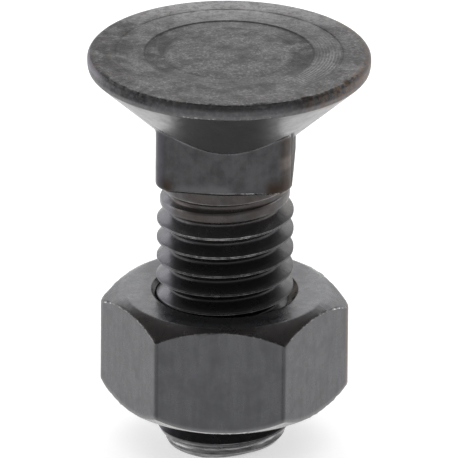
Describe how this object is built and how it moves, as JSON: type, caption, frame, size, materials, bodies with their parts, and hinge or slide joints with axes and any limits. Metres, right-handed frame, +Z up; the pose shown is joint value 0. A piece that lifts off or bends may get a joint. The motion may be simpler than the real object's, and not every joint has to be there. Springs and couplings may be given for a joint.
{
  "type": "plow bolt",
  "caption": "Flat countersunk head bolt with a square neck and coarse right-hand thread, carrying its hexagon nut; fastens wear plates flush.",
  "frame": {"origin": "centre of the flat end face of the threaded tip, which the bolt stands on", "axes": "+Z up along the bolt's axis from the tip to the face of the head; -Y and +X square to the flats of the square neck, and -Y square to a flat of the nut"},
  "size_m": [0.0244, 0.0244, 0.036],
  "materials": {
    "bolt_oxide": "satin",
    "nut_oxide": "satin"
  },
  "bodies": {
    "bolt": {"plow_bolt": "bolt_oxide"},
    "nut": {"hex_nut": "nut_oxide"}
  },
  "joints": [
    {"name": "nut_travel", "type": "slide", "parent": "bolt", "child": "nut", "axis": [0, 0, 1], "range_m": [-0.0035, 0.00875]}
  ]
}
